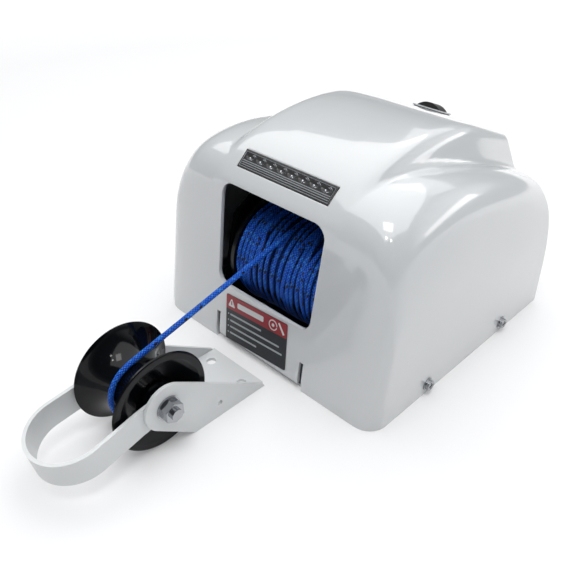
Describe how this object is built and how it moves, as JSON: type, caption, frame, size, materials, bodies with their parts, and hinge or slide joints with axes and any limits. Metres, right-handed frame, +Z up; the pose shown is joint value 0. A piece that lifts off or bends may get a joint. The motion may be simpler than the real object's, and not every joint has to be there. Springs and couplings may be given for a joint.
{
  "type": "anchor windlass",
  "caption": "Electric drum windlass under a moulded cover with a rope window and lamp, with a separate roller bracket, waisted roller and U-shaped bail carrying its rope.",
  "frame": {"origin": "centre of the windlass's deck bolt pattern, on the deck", "axes": "+Z up from the deck, -Y towards the bow and the roller bracket, X across the boat along the drum's axis"},
  "size_m": [0.2782, 0.4915, 0.2005],
  "materials": {
    "cover": "glossy white",
    "label": "printed",
    "bracket": "white powder coat",
    "steel": "zinc plated",
    "frame": "black powder coat",
    "bronze": "satin",
    "motor": "black paint",
    "magnet": "matt",
    "electric_box": "fine texture",
    "black_plastic": "satin",
    "lamp_lens": "smoked, ribbed",
    "circuit_board": "satin",
    "lamp_chrome": "metallised",
    "led": "clear",
    "bezel": "glossy white",
    "stainless": "polished",
    "nylon": "satin",
    "rope": "braided",
    "drum": "glossy black",
    "gear": "machined",
    "armature": "laminated",
    "roller": "glossy black",
    "rocker": "satin black"
  },
  "bodies": {
    "root": {"cover": "cover", "warning_plate": "label", "roller_bracket": "bracket", "base_pan": "steel", "frame_left": "frame", "frame_right": "frame", "gear_side_plate": "frame", "spacer_rods": "steel", "frame_screws": "steel", "drum_bushings": "bronze", "idler_bushings": "bronze", "motor_can": "motor", "motor_nose": "motor", "motor_end_cap": "motor", "motor_magnets": "magnet", "motor_screws": "steel", "motor_relay": "electric_box", "relay_studs": "bronze", "remote_receiver": "electric_box", "terminal_block": "electric_box", "cable_gland": "black_plastic", "gland_nut": "black_plastic", "lamp_lens": "lamp_lens", "lamp_housing": "black_plastic", "lamp_board": "circuit_board", "lamp_reflector": "lamp_chrome", "lamp_leds": "led", "switch_bezel": "bezel", "switch_body": "black_plastic", "switch_pin": "steel", "cover_screws": "stainless", "cover_washers": "stainless", "axle_bolt": "stainless", "axle_nut": "stainless", "axle_washers": "stainless", "thrust_washers": "nylon", "rope_run": "rope", "rope_knot": "rope"},
    "drum": {"drum_core": "drum", "drum_flange_left": "drum", "drum_flange_right": "drum", "drum_screws": "steel", "drum_shaft": "steel", "drum_gear": "gear", "rope_winding": "rope"},
    "idler": {"idler_shaft": "steel", "idler_gear": "gear", "idler_pinion": "gear"},
    "motor_rotor": {"motor_shaft": "steel", "motor_pinion": "gear", "motor_armature": "armature", "motor_commutator": "bronze"},
    "roller": {"anchor_roller": "roller", "roller_bushes": "nylon"},
    "bail_arm": {"bail": "bracket"},
    "rocker": {"switch_rocker": "rocker"}
  },
  "joints": [
    {"name": "drum_spin", "type": "hinge", "parent": "root", "child": "drum", "pos_m": [0, -0.067, 0.077], "axis": [1, 0, 0], "continuous": true},
    {"name": "idler_spin", "type": "hinge", "parent": "root", "child": "idler", "pos_m": [0.08, -0.005, 0.077], "axis": [1, 0, 0], "continuous": true},
    {"name": "motor_spin", "type": "hinge", "parent": "root", "child": "motor_rotor", "pos_m": [0, 0.051, 0.077], "axis": [1, 0, 0], "continuous": true},
    {"name": "roller_spin", "type": "hinge", "parent": "root", "child": "roller", "pos_m": [-0.0075, -0.253, 0.0443], "axis": [1, 0, 0], "continuous": true},
    {"name": "bail_swing", "type": "hinge", "parent": "root", "child": "bail_arm", "pos_m": [-0.0075, -0.253, 0.0443], "axis": [-1, 0, 0], "range_deg": [-6, 95]},
    {"name": "rocker_tilt", "type": "hinge", "parent": "root", "child": "rocker", "pos_m": [0, 0.10762, 0.17498], "axis": [0, 0.9232, -0.3843], "range_deg": [-8, 8], "stiffness_Nm_per_rad": 0.3}
  ],
  "couplings": [
    {"joint": "idler_spin", "follows": "drum_spin", "ratio": -3.4286},
    {"joint": "motor_spin", "follows": "drum_spin", "ratio": 12.571},
    {"joint": "roller_spin", "follows": "drum_spin", "ratio": 1.7091}
  ]
}
